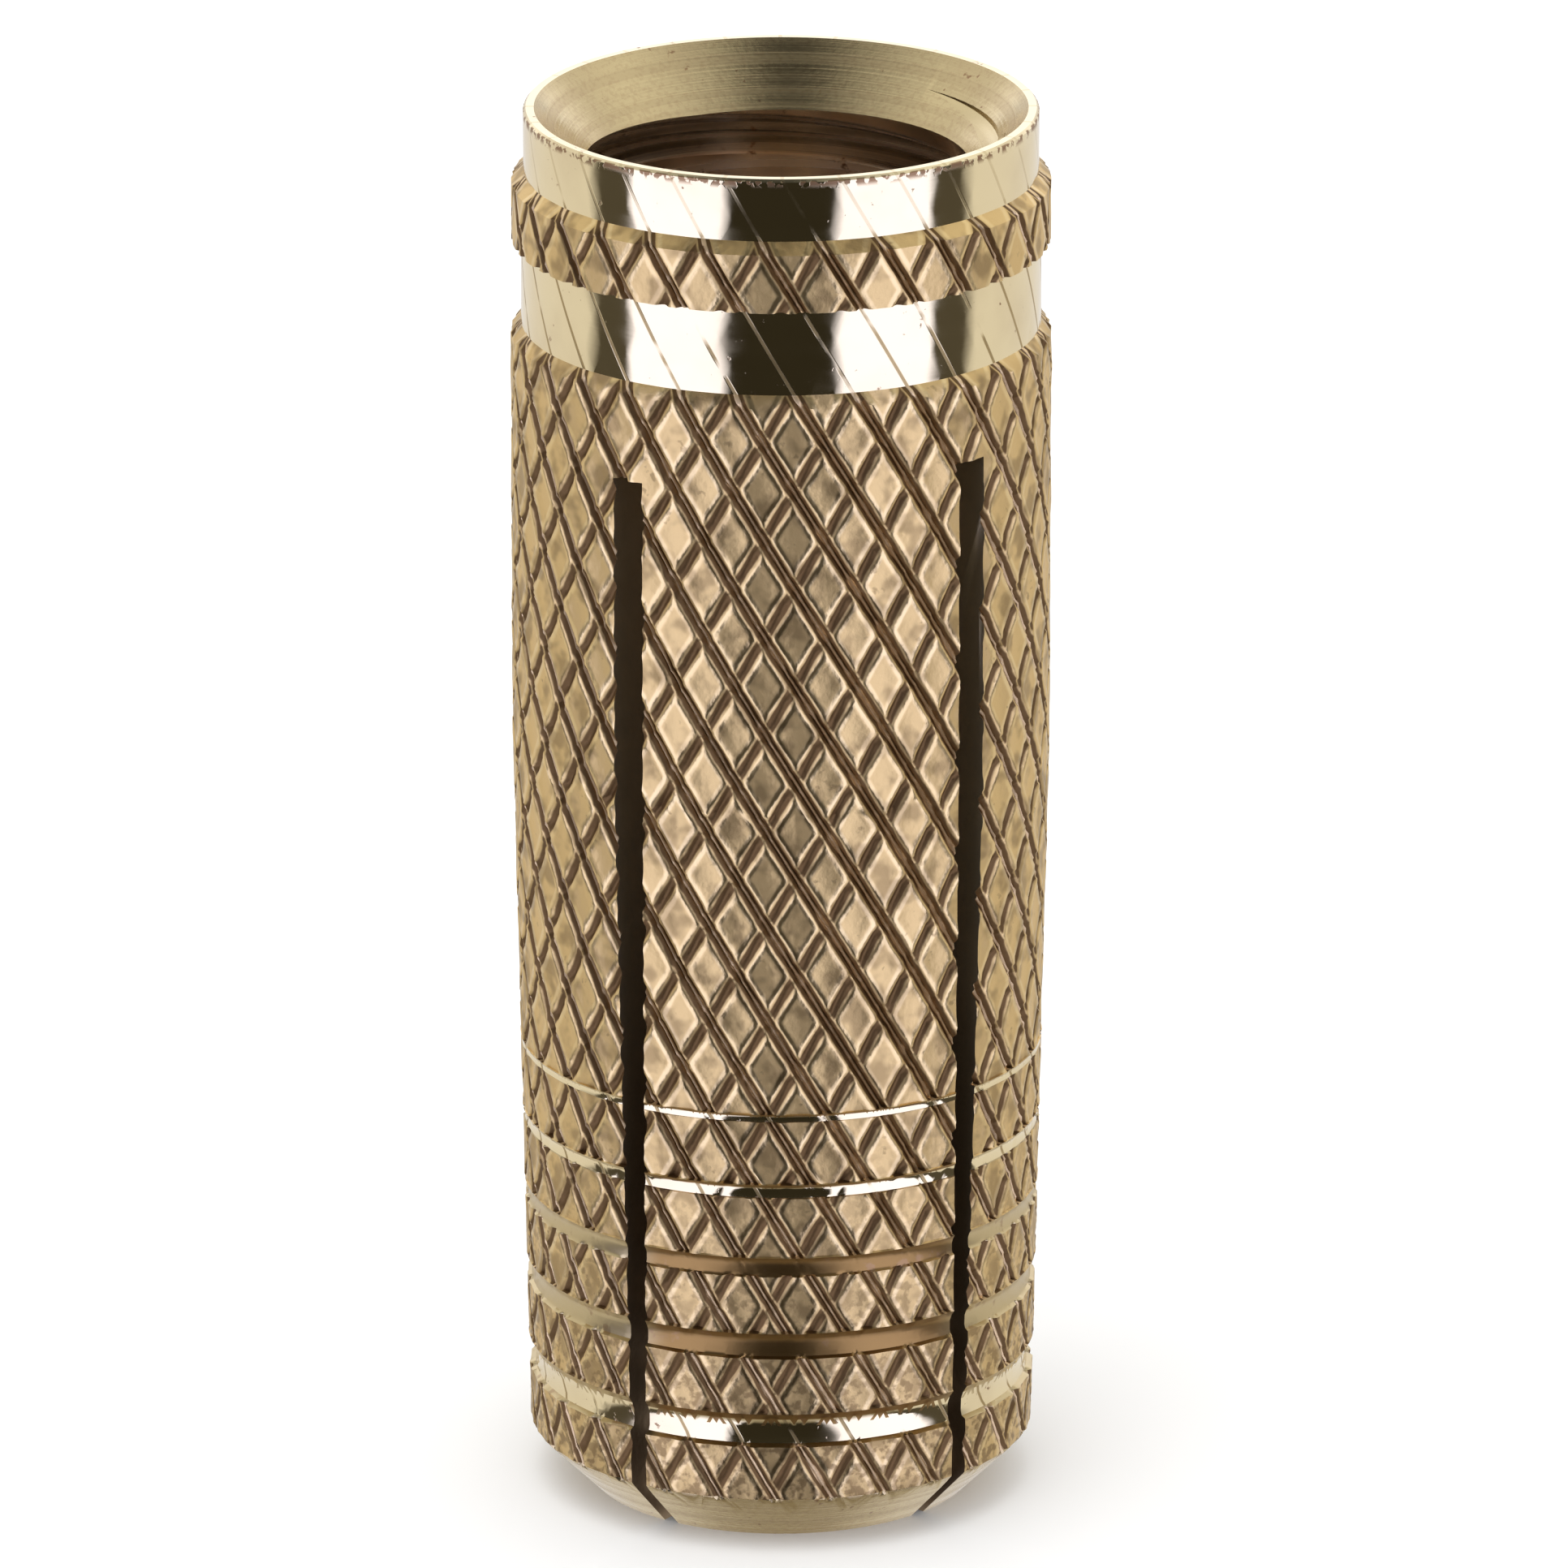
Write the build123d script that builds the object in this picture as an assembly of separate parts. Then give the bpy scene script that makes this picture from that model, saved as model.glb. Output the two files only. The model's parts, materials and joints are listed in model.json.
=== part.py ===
from build123d import *
import os
from math import radians, sqrt, tan

# Brass expansion anchor: one turned, knurled and slotted sleeve for an M10 bolt.
# Millimetres. The origin is the centre of the split end's face, which the sleeve
# stands on, and +Z runs along the axis to the threaded mouth.
# Distances called "depth" are measured down from the mouth.

# Overall sizes
sleeve_length = 32.0
body_diameter = 12.0            # over the knurl, the size of the drilled hole
bore_diameter = 8.5             # over the crests of the M10 x 1.5 thread

# Mouth end, in order down from the mouth
rim_diameter = 11.38
rim_length = 1.40
collar_diameter = 11.92         # the short knurled collar under the rim
collar_length = 1.56
relief_diameter = 11.50         # the smooth band between collar and body
relief_length = 1.92
countersink_diameter = 10.90
countersink_angle = 90.0

# Split end: the four legs are squeezed in towards the tip
squeeze_length = 17.5           # from the tip up to where the legs start to lean in
squeeze_at_tip = 0.37           # how far each leg's tip has moved in
nose_chamfer = 1.30

# Two saw cuts right across the sleeve make the four slots
slot_width = 0.71
slot_tip_width = 0.36           # squeezed nearly shut
saw_diameter = 60.0
front_leg_angle = 79.0          # the -Y and +Y legs; the other two take the rest
slot_depths = (7.10, 6.85)      # depth of each cut's root: front left, then front right

# Turned rings that weaken the legs: depth of the middle, width, cut below the surface
ring_grooves = (
    (21.61, 0.18, 0.03),
    (23.35, 0.33, 0.06),
    (25.15, 0.46, 0.10),
    (27.03, 0.61, 0.14),
    (29.05, 0.80, 0.18),
)

body_radius = body_diameter / 2
bore_radius = bore_diameter / 2
rim_base = sleeve_length - rim_length
collar_base = rim_base - collar_length
body_top = collar_base - relief_length


def squeezed_in(z):
    """How far a point of a leg at height z has moved towards the axis."""
    return squeeze_at_tip * max(0.0, 1 - z / squeeze_length)


def groove_outline(depth, width, cut):
    """The four corners of one ring groove, from its lower edge to its upper edge."""
    middle = sleeve_length - depth
    lower, upper = middle - width / 2, middle + width / 2
    lower_radius = body_radius - squeezed_in(lower)
    upper_radius = body_radius - squeezed_in(upper)
    return [
        (lower_radius, lower),
        (lower_radius - cut, lower),
        (upper_radius - cut, upper),
        (upper_radius, upper),
    ]


def wall_section():
    """Half section of the wall, closed, as (radius, height) points."""
    nose_radius = body_radius - squeezed_in(nose_chamfer)
    countersink_radius = countersink_diameter / 2
    half_angle = radians(countersink_angle / 2)
    countersink_base = sleeve_length - (countersink_radius - bore_radius) / tan(half_angle)
    section = [
        (bore_radius - squeeze_at_tip, 0),
        (nose_radius - nose_chamfer, 0),
        (nose_radius, nose_chamfer),
    ]
    for depth, width, cut in reversed(ring_grooves):
        section += groove_outline(depth, width, cut)
    section += [
        (body_radius, squeeze_length),
        (body_radius, body_top),
        (relief_diameter / 2, body_top),
        (relief_diameter / 2, collar_base),
        (collar_diameter / 2, collar_base),
        (collar_diameter / 2, rim_base),
        (rim_diameter / 2, rim_base),
        (rim_diameter / 2, sleeve_length),
        (countersink_radius, sleeve_length),
        (bore_radius, countersink_base),
        (bore_radius, squeeze_length),
    ]
    return section


def turned_sleeve():
    """The sleeve as it leaves the lathe, with its legs already leaning in."""
    outline = Polyline([(radius, 0, z) for radius, z in wall_section()], close=True)
    return revolve(make_face(outline), Axis.Z, 360)


def saw_cut(root_depth, turn):
    """One cut across the axis: saw-round at its root, narrowing to the squeezed tip."""
    reach = body_diameter
    saw_radius = saw_diameter / 2
    root = sleeve_length - root_depth
    saw_height = root - sqrt(saw_radius**2 - body_radius**2)
    gap = Polyline(
        (0, -slot_tip_width / 2, -reach),
        (0, -slot_tip_width / 2, 0),
        (0, -slot_width / 2, squeeze_length),
        (0, -slot_width / 2, sleeve_length),
        (0, slot_width / 2, sleeve_length),
        (0, slot_width / 2, squeeze_length),
        (0, slot_tip_width / 2, 0),
        (0, slot_tip_width / 2, -reach),
        close=True,
    )
    wedge = extrude(make_face(gap), amount=reach, both=True)
    saw = Pos(0, 0, saw_height) * Rot(90, 0, 0) * Cylinder(saw_radius, 2 * slot_width)
    return Rot(0, 0, turn) * (wedge & saw)


def anchor_sleeve():
    sleeve = turned_sleeve()
    half_leg = front_leg_angle / 2
    for root_depth, turn in zip(slot_depths, (90 - half_leg, 90 + half_leg)):
        sleeve -= saw_cut(root_depth, turn)
    return sleeve


os.makedirs("parts", exist_ok=True)
export_step(anchor_sleeve(), "parts/anchor_sleeve.step")
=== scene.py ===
import json
from bisect import bisect_right
from math import ceil, cos, pi, radians, sin, sqrt, tan, tau

import bmesh
import bpy
from bpy.props import (
    FloatProperty,
    FloatVectorProperty,
    IntProperty,
    PointerProperty,
)
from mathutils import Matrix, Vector, noise


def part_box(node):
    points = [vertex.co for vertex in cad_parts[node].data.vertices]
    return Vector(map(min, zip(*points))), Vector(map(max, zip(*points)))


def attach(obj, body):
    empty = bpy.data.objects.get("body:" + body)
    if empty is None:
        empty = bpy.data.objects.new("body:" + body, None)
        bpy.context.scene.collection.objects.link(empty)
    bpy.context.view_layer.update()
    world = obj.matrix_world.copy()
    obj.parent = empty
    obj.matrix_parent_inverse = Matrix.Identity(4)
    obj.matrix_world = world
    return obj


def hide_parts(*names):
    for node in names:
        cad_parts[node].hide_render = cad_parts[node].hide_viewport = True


bl_info = {
    "name": "Brass Expansion Anchor",
    "version": (1, 0, 0),
    "blender": (4, 5, 0),
    "location": "View3D > Sidebar > Anchor",
    "description": "Turned, knurled, tapped and slotted brass sleeve on a plain studio floor",
    "category": "Mesh",
}

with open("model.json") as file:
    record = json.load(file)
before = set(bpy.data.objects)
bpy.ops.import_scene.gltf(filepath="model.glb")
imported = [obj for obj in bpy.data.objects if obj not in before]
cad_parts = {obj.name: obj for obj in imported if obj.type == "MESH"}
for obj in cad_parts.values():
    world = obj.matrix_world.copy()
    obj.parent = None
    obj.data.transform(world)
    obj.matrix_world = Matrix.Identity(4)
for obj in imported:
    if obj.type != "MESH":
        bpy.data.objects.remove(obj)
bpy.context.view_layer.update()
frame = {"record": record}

SLEEVE_NODE = "anchor_sleeve"
MM = 0.001
MERGE = 1e-7
SHARP_ANGLE = radians(40)

# Places of the finishes among the sleeve's materials
KNURLED, TURNED, GROOVE_SHADE, COUNTERSUNK = range(4)

sleeve_low, sleeve_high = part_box(SLEEVE_NODE)
mounts = {mount["name"]: mount for mount in frame["record"]["mounts"]}
thread_mount = mounts["bolt_thread"]
thread_top = thread_mount["pos_m"][2]
thread_length = thread_mount["dims"]["length_mm"] * MM
crest_radius = thread_mount["dims"]["r_mm"] * MM
body_mount = mounts["knurled_body"]
body_top = body_mount["pos_m"][2] + body_mount["dims"]["length_mm"] * MM / 2


def length(name, description, default, **more):
    """A size in metres, shown in the scene's own unit."""
    return FloatProperty(
        name=name,
        description=description,
        default=default,
        unit="LENGTH",
        subtype="DISTANCE",
        precision=5,
        **more,
    )


def lengths(name, description, default):
    """Several like sizes in metres, one for each ring groove."""
    return FloatVectorProperty(
        name=name,
        description=description,
        default=default,
        size=len(default),
        unit="LENGTH",
        precision=5,
    )


def rotation(name, description, default):
    return FloatProperty(name=name, description=description, default=default, unit="ROTATION")


def colour(name, description, default):
    return FloatVectorProperty(
        name=name,
        description=description,
        default=default,
        size=3,
        subtype="COLOR",
        min=0.0,
        max=1.0,
    )


def plain(name, description, default, **more):
    return FloatProperty(name=name, description=description, default=default, **more)


class SleeveSizes(bpy.types.PropertyGroup):
    """The turned shape of the sleeve, up from its split tip"""

    height: length("Height", "Split tip to mouth", sleeve_high.z - sleeve_low.z)
    body: length("Body diameter", "Across the knurl", sleeve_high.x - sleeve_low.x)
    body_top: length("Body top", "Height of the knurled body's upper edge", body_top)
    rim: length("Rim diameter", "Smooth rim round the mouth", 11.38 * MM)
    rim_length: length("Rim length", "Height of the smooth rim", 1.40 * MM)
    collar: length("Collar diameter", "Short knurled collar", 11.92 * MM)
    collar_length: length("Collar length", "Height of the collar", 1.56 * MM)
    relief: length("Relief diameter", "Smooth band under the collar", 11.50 * MM)
    countersink_base: length("Countersink base", "Height where it meets the bore", thread_top)
    countersink: length("Countersink diameter", "Across its mouth", 10.90 * MM)
    squeeze_length: length(
        "Squeezed length", "Tip to where the legs lean in", thread_top - thread_length
    )
    squeeze: length("Squeeze", "How far each leg's tip leans in", 0.37 * MM)
    nose: length("Nose chamfer", "Height and width of the tip's chamfer", 1.30 * MM)
    edge: length("Edge break", "Width of a turned edge's small slope", 0.03 * MM)
    bevel: length("Bevel", "Height of the slope over each knurled part", 0.25 * MM)
    ring_heights: lengths(
        "Ring heights",
        "Middle of each ring groove, above the tip",
        (2.95 * MM, 4.97 * MM, 6.85 * MM, 8.65 * MM, 10.39 * MM),
    )
    ring_widths: lengths(
        "Ring widths",
        "Width of each ring groove",
        (0.80 * MM, 0.61 * MM, 0.46 * MM, 0.33 * MM, 0.18 * MM),
    )
    ring_cuts: lengths(
        "Ring cuts",
        "Depth of each ring groove",
        (0.18 * MM, 0.14 * MM, 0.10 * MM, 0.06 * MM, 0.03 * MM),
    )


class SlotSizes(bpy.types.PropertyGroup):
    """The two saw cuts that part the four legs"""

    width: length("Width", "Saw cut, above the squeeze", 0.75 * MM)
    tip_width: length("Tip width", "What the squeeze leaves at the tip", 0.36 * MM)
    saw: length("Saw diameter", "Blade that rounds the slot's root", 60.0 * MM)
    leg_angle: rotation("Front leg angle", "Angle that the front and back legs take up", radians(79.0))
    root_left: length("Left root", "Height of the front left cut's root", 24.90 * MM)
    root_right: length("Right root", "Height of the front right cut's root", 25.15 * MM)


class KnurlSizes(bpy.types.PropertyGroup):
    """The diamond knurl: valleys that fall to the right cross valleys that rise to it"""

    rounds: IntProperty(
        name="Valleys round",
        description="Valleys of each hand round the sleeve",
        default=28,
        min=3,
    )
    falling_pitch: length("Falling pitch", "Step up between falling valleys", 2.211 * MM)
    rising_pitch: length("Rising pitch", "Step up between rising valleys", 2.268 * MM)
    falling_start: plain("Falling start", "Place of the first falling valley, in cells", 0.91)
    rising_start: plain("Rising start", "Place of the first rising valley, in cells", 0.21)
    falling_depth: length("Falling depth", "Depth of the falling valleys", 0.18 * MM)
    rising_depth: length("Rising depth", "Depth of the rising valleys", 0.16 * MM)
    tip_share: plain("Share at tip", "Depth left towards the tip", 0.60, min=0.0, max=1.0)
    half_width: plain("Half width", "Valley's half width, in cells", 0.115)
    burr: length("Burr", "Height of the raised lip along each valley", 0.06 * MM)
    ridge: length("Ridge", "Height of the fine ridge down a falling valley", 0.07 * MM)
    pressed: plain("Pressed flat", "How full the ring grooves press the valleys", 0.9, max=1.0)
    roughness: length("Unevenness", "Random difference in height", 0.02 * MM)


class ThreadSizes(bpy.types.PropertyGroup):
    """The right-hand thread tapped through the bore"""

    pitch: length("Pitch", "Rise of one turn", 1.5 * MM)
    crest_radius: length("Crest radius", "Bore over the thread's crests", 4.15 * MM)
    root_radius: length("Root radius", "Bore at the thread's roots", 4.80 * MM)
    start: length("Start", "Height of one thread root at the front", 30.89 * MM)
    sides: IntProperty(name="Sides", description="Facets round one turn", default=80, min=12)


class BrassColours(bpy.types.PropertyGroup):
    """Colours of the metal and of what is worked into it, and the painted shade and highlights laid on
    it
    """

    bright: colour("Bright brass", "Freshly turned bands", (0.86, 0.73, 0.45))
    countersunk: colour("Countersink", "Duller reamed cone", (0.62, 0.50, 0.27))
    knurled: colour("Knurled brass", "Dull tops of the rolled diamonds", (0.765, 0.55, 0.24))
    # This colour is paler than the knurled brass. It is a painted highlight on the polished lips.
    lip: colour("Lip", "Polished lips round the diamonds", (0.82, 0.62, 0.31))
    # This colour is partly a brown film and partly painted shade in the knurl's valleys. It also
    # darkens the knurl towards the tip, and it is painted shade deep in the bore and slots.
    valley: colour("Valley", "Brown film in the knurl's valleys", (0.185, 0.11, 0.045))
    # This colour is a painted highlight on the fine ridge, which sits in the valley's shade.
    ridge: colour("Ridge", "Fine ridge down the falling valleys", (0.92, 0.70, 0.40))
    tapped: colour("Tapped bore", "Darker, redder bore", (0.44, 0.36, 0.25))
    sawn: colour("Sawn walls", "Dull slot walls", (0.60, 0.52, 0.38))
    # This colour is a painted highlight: paler, redder thread crests and streaks in the bore.
    copper_highlight: colour("Copper streaks", "Paler, redder thread crests and streaks", (0.96, 0.76, 0.55))
    # This colour is painted shade and reflection in the ring grooves on the side towards the camera.
    browned: colour("Stained rings", "Browner ring grooves and their walls", (0.30, 0.18, 0.062))
    speck: colour("Speck", "Small pits and stains", (0.34, 0.21, 0.11))
    trace: colour("Trace", "Last trace of the knurl on the turned bands", (0.46, 0.34, 0.155))


class StudioSettings(bpy.types.PropertyGroup):
    """Camera, floor and light"""

    azimuth: rotation("Azimuth", "Camera's turn about the sleeve", radians(-5.15))
    elevation: rotation("Elevation", "Camera's height angle", radians(18.7))
    distance: length("Distance", "Camera to the point that it looks at", 376.2 * MM)
    aim_height: length("Aim height", "Height of the point that it looks at", 16.24 * MM)
    lens: plain("Lens", "Focal length in millimetres", 387.0)
    shift: plain("Shift", "Sideways shift of the frame", 0.0018)
    floor: colour("Floor", "Pale floor", (0.93, 0.93, 0.925))
    floor_size: length("Floor size", "Half the floor's width", 1.5)
    floor_roughness: plain("Floor roughness", "How dull the floor is", 0.8, min=0.0, max=1.0)
    lamp_size: length("Lamp size", "Across the soft lamp", 0.5)
    lamp_power: plain("Lamp power", "Power of the soft lamp in watts", 1.0, min=0.0)


# ---------------------------------------------------------------- turned and rolled surface

# (share of the width, share of the depth) corners of a ring groove, from its lower edge up
GROOVE_SECTION = (
    (0.0, 0.0), (0.08, 0.8), (0.22, 1.0), (0.58, 1.0), (0.8, 0.65), (1.0, 0.0), (1.06, 0.0)
)
# Shares of a groove's width, from its lower edge up
PRESSED_FROM = 0.05
FLOOR_FROM, FLOOR_TO = 0.08, 0.7
GROOVE_REACH = 1.01

# Half widths of a valley, out from its middle, at which the rolled surface bends
RISING_FLOOR, FALLING_FLOOR, RIDGE_FOOT = 0.1, 0.3, 0.4
LIP_FOOT, LIP_TOP, LIP_BROW, LIP_END = 0.8, 1.5, 1.7, 3.3
RISING_OPENS = 2.2
MESH_LINES = (0.4, 1.0, 1.6, 2.6)
RISING_LIP = 0.85

# Heights between which the knurl gets fainter towards the tip
FAINT_BELOW, FULL_ABOVE = 2 * MM, 12 * MM
# Unevenness: the width of its lumps, and the share of its height that sinks the surface
LUMP = 0.7 * MM
LUMP_SINK = 0.4


def leaned_in(sizes, z):
    """How far the squeeze has moved a leg in at height z."""
    return sizes.squeeze * max(0.0, 1.0 - z / sizes.squeeze_length)


def ring_grooves(sizes):
    """(lower edge, width, depth) of each ring groove, from the tip up."""
    for middle, width, cut in zip(sizes.ring_heights, sizes.ring_widths, sizes.ring_cuts):
        yield middle - width / 2, width, cut


def place_in_groove(sizes, z):
    """How far up a ring groove height z is, from 0 to just past 1, or None outside them."""
    for lower, width, _ in ring_grooves(sizes):
        if lower < z < lower + GROOVE_REACH * width:
            return (z - lower) / width
    return None


def turned_outline(sizes):
    """(height, radius) corners of the turned outside, from the tip up."""
    body = sizes.body / 2
    nose_radius = body - leaned_in(sizes, sizes.nose)
    collar_base = sizes.height - sizes.rim_length - sizes.collar_length
    rim_base = sizes.height - sizes.rim_length
    corners = [(0.0, nose_radius - sizes.nose), (sizes.nose, nose_radius)]

    for lower, width, cut in ring_grooves(sizes):
        for share, depth in GROOVE_SECTION:
            z = lower + share * width
            corners.append((z, body - leaned_in(sizes, z) - depth * cut))
    corners.append((sizes.squeeze_length, body))
    corners.extend([(sizes.body_top - sizes.bevel, body), (sizes.body_top, sizes.relief / 2)])
    corners.append((collar_base - sizes.edge, sizes.relief / 2))
    corners.append((collar_base, sizes.collar / 2))
    corners.extend([(rim_base - sizes.bevel, sizes.collar / 2), (rim_base, sizes.rim / 2)])
    corners.append((sizes.height - 2 * sizes.edge, sizes.rim / 2))
    corners.append((sizes.height, sizes.rim / 2 - 2 * sizes.edge))
    return corners


def between(points, x):
    """Height of the broken line through points at x."""
    at = min(max(bisect_right(points, (x, float("inf"))), 1), len(points) - 1)
    (x0, y0), (x1, y1) = points[at - 1], points[at]
    share = min(max((x - x0) / (x1 - x0), 0.0), 1.0)
    return y0 + (y1 - y0) * share


def ease(low, high, x):
    """0 below low, 1 above high, smooth between."""
    share = min(max((x - low) / (high - low), 0.0), 1.0)
    return share * share * (3.0 - 2.0 * share)


def from_valley(place):
    """Distance to the nearest valley's middle, in cells, from 0 to a half."""
    return abs(place - round(place))


def lip_height(half, distance):
    """Share of a lip's height at a distance from a valley's middle."""
    climb = ease(LIP_FOOT * half, LIP_TOP * half, distance)
    return climb * (1.0 - ease(LIP_BROW * half, LIP_END * half, distance))


def knurl_height(knurl, falling, rising, share):
    """Height of the rolled surface against the knurl's outer size, in metres. A rising
    valley fades out where a falling one crosses it."""
    fall, rise = from_valley(falling), from_valley(rising)
    half = knurl.half_width
    in_fall = 1.0 - ease(FALLING_FLOOR * half, half, fall)
    in_rise = 1.0 - ease(RISING_FLOOR * half, half, rise)
    in_rise *= ease(half, RISING_OPENS * half, fall)
    ridge = knurl.ridge * (1.0 - ease(0.0, RIDGE_FOOT * half, fall))
    lip = max(lip_height(half, fall), RISING_LIP * lip_height(half, rise))
    height = knurl.burr * (lip - 1.0)
    valley = max(
        (knurl.falling_depth - knurl.burr) * in_fall - ridge,
        (knurl.rising_depth - knurl.burr) * in_rise,
    )
    return (height - valley) * share


def place_in_cells(knurl, angle, z):
    """Which falling and which rising valley a point is at, counted in cells."""
    turn = knurl.rounds * angle / tau
    return (
        turn + z / knurl.falling_pitch + knurl.falling_start,
        turn - z / knurl.rising_pitch + knurl.rising_start,
    )


def place_on_sleeve(knurl, falling, rising):
    """The angle and height of a point given in cells."""
    falling -= knurl.falling_start
    rising -= knurl.rising_start
    z = (falling - rising) / (1.0 / knurl.falling_pitch + 1.0 / knurl.rising_pitch)
    return (falling - z / knurl.falling_pitch) * tau / knurl.rounds, z


def cell_steps(half_width):
    """Places across one cell where the rolled surface bends."""
    near = [0.0, *(line * half_width for line in MESH_LINES)]
    return near + [1.0 - step for step in reversed(near[1:])]


def spread_in_cell(place, steps):
    """Moves an evenly spaced place in a cell to the step of the same number."""
    count = round(place * len(steps))
    return count // len(steps) + steps[count % len(steps)]


def cut_at(bm, z, **clear):
    geometry = bm.verts[:] + bm.edges[:] + bm.faces[:]
    bmesh.ops.bisect_plane(
        bm, geom=geometry, dist=MERGE, plane_co=(0, 0, z), plane_no=(0, 0, 1), **clear
    )


def fill_ends(bm):
    """Closes each open end of a tube with one flat face."""
    open_edges = [edge for edge in bm.edges if edge.is_boundary]
    bmesh.ops.holes_fill(bm, edges=open_edges, sides=0)
    bmesh.ops.recalc_face_normals(bm, faces=bm.faces[:])


def knurled_skin(sizes, knurl):
    """The solid sleeve before it is bored: a sheet laid along both families of valleys,
    cut at every turned edge, rolled up and pressed to the turned or rolled surface."""
    bm = bmesh.new()
    steps = cell_steps(knurl.half_width)
    cells_high = sizes.height * (1.0 / knurl.falling_pitch + 1.0 / knurl.rising_pitch)
    spare = 1
    rows = ceil(cells_high) + knurl.rounds + 2 * spare
    first_row = -ceil(cells_high) - spare
    bmesh.ops.create_grid(
        bm, x_segments=knurl.rounds * len(steps), y_segments=rows * len(steps), size=0.5
    )
    corners = turned_outline(sizes)
    edges = [z for z, _ in corners]
    snap = 0.4 * sizes.edge
    for vert in bm.verts:
        falling = spread_in_cell((vert.co.x + 0.5) * knurl.rounds, steps)
        rising = spread_in_cell((vert.co.y + 0.5) * rows, steps) + first_row
        angle, z = place_on_sleeve(knurl, falling, rising)
        nearest = min(edges, key=lambda edge: abs(edge - z))
        vert.co = (angle, 0.0, nearest if abs(nearest - z) < snap else z)
    margin = knurl.falling_pitch
    outside = [vert for vert in bm.verts if not -margin < vert.co.z < sizes.height + margin]
    bmesh.ops.delete(bm, geom=outside, context="VERTS")
    cut_at(bm, 0.0, clear_inner=True)
    cut_at(bm, sizes.height, clear_outer=True)
    for z in edges[1:-1]:
        cut_at(bm, z)
    body = sizes.body / 2
    for vert in bm.verts:
        angle, z = vert.co.x, vert.co.z
        share = knurl.tip_share + (1.0 - knurl.tip_share) * ease(FAINT_BELOW, FULL_ABOVE, z)
        falling, rising = place_in_cells(knurl, angle, z)
        rolled = body - leaned_in(sizes, z) + knurl_height(knurl, falling, rising, share)
        around = Vector((sin(angle), -cos(angle), 0.0))
        uneven = noise.noise((around * body + Vector((0, 0, z))) / LUMP)
        rolled += knurl.roughness * (uneven - LUMP_SINK)
        turned = between(corners, z)
        cut_in = max(turned - rolled, 0.0)
        in_groove = place_in_groove(sizes, z)
        if in_groove is not None and in_groove > PRESSED_FROM:
            cut_in *= 1.0 - knurl.pressed
        vert.co = around * (turned - cut_in) + Vector((0, 0, z))
    bmesh.ops.remove_doubles(bm, verts=bm.verts[:], dist=MERGE)
    fill_ends(bm)
    return bm


# ---------------------------------------------------------------- what is cut away


def thread_outline(thread):
    """(share of a pitch, radius) corners of one thread, from the middle of a crest."""
    flank_angle = radians(30)
    flank = (thread.root_radius - thread.crest_radius) * tan(flank_angle) / thread.pitch
    root = 1.0 / 16.0
    crest_end = 0.5 - root - flank
    return [
        (0.0, thread.crest_radius),
        (crest_end, thread.crest_radius),
        (0.5 - root, thread.root_radius),
        (0.5 + root, thread.root_radius),
        (1.0 - crest_end, thread.crest_radius),
        (1.0, thread.crest_radius),
    ]


def threaded_plug(sizes, thread):
    """The space inside the bore, thread and all, run on past both ends."""
    bm = bmesh.new()
    outline = thread_outline(thread)
    steps = [share for share, radius in outline[:-1]]
    margin = thread.pitch
    spare = 2
    first_turn = -ceil(margin / thread.pitch) - spare
    turns = ceil((sizes.height + 2 * margin) / thread.pitch) + 2 * spare
    bmesh.ops.create_grid(
        bm, x_segments=thread.sides, y_segments=turns * len(steps), size=0.5
    )
    offset = thread.start % thread.pitch - thread.pitch / 2
    for vert in bm.verts:
        angle = (vert.co.x + 0.5) * tau
        share = spread_in_cell((vert.co.y + 0.5) * turns, steps)
        vert.co = (angle, share % 1.0, (share + first_turn + angle / tau) * thread.pitch + offset)
    cut_at(bm, -margin, clear_inner=True)
    cut_at(bm, sizes.height + margin, clear_outer=True)
    for vert in bm.verts:
        angle, z = vert.co.x, vert.co.z
        share = ((z - offset) / thread.pitch - angle / tau) % 1.0
        radius = between(outline, share) - leaned_in(sizes, z)
        vert.co = (radius * sin(angle), -radius * cos(angle), z)
    bmesh.ops.remove_doubles(bm, verts=bm.verts[:], dist=MERGE)
    fill_ends(bm)
    return bm


def countersink_cone(sizes):
    """A 90 degree cone from inside the bore up past the mouth."""
    bm = bmesh.new()
    sides = 160
    margin = 1.0 * MM
    slope = (sizes.countersink / 2 - crest_radius) / (sizes.height - sizes.countersink_base)
    low, high = sizes.countersink_base - margin, sizes.height + margin
    bmesh.ops.create_cone(
        bm,
        cap_ends=True,
        segments=sides,
        radius1=crest_radius - margin * slope,
        radius2=sizes.countersink / 2 + margin * slope,
        depth=high - low,
    )
    bmesh.ops.translate(bm, verts=bm.verts[:], vec=(0, 0, (low + high) / 2))
    return bm


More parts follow.
